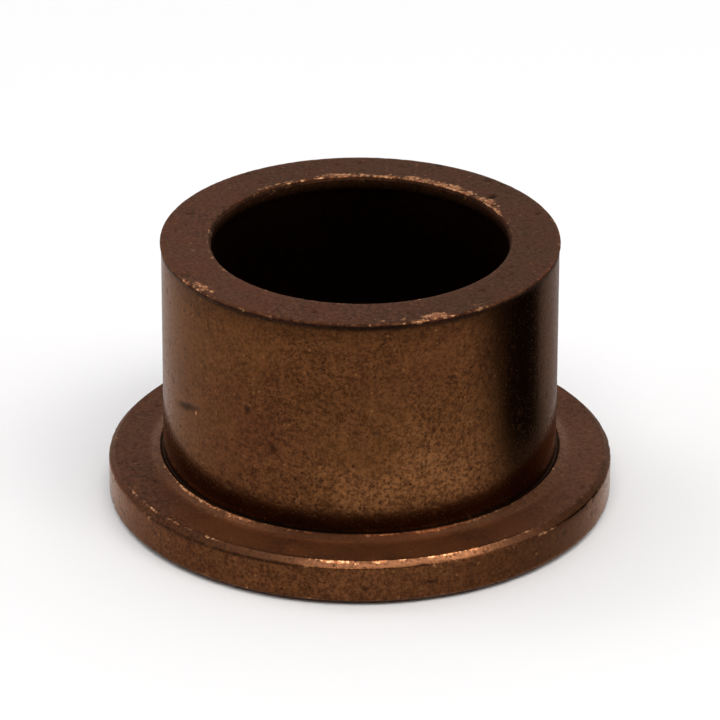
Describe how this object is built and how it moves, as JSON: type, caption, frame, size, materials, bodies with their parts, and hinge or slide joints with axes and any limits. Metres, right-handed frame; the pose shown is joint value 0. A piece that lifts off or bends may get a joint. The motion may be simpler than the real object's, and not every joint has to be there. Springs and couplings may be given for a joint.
{
  "type": "flanged sleeve bushing",
  "caption": "Plain sleeve bushing of sintered bronze with a thrust flange at one end, a straight through bore, near-sharp edges and a small fillet where the sleeve meets the flange.",
  "frame": {"origin": "centre of the flange's outer end face, on the bore axis", "axes": "+Z along the bore axis, from the flange towards the sleeve's free end; X and Y lie in the flange's end face"},
  "size_m": [0.0324, 0.0324, 0.0178],
  "materials": {
    "bronze": "oil-impregnated sintered bronze, dark reddish brown satin skin with fine open pores, brighter copper and gold on worn edges"
  },
  "bodies": {
    "root": {"flanged_bushing": "bronze"}
  },
  "joints": []
}
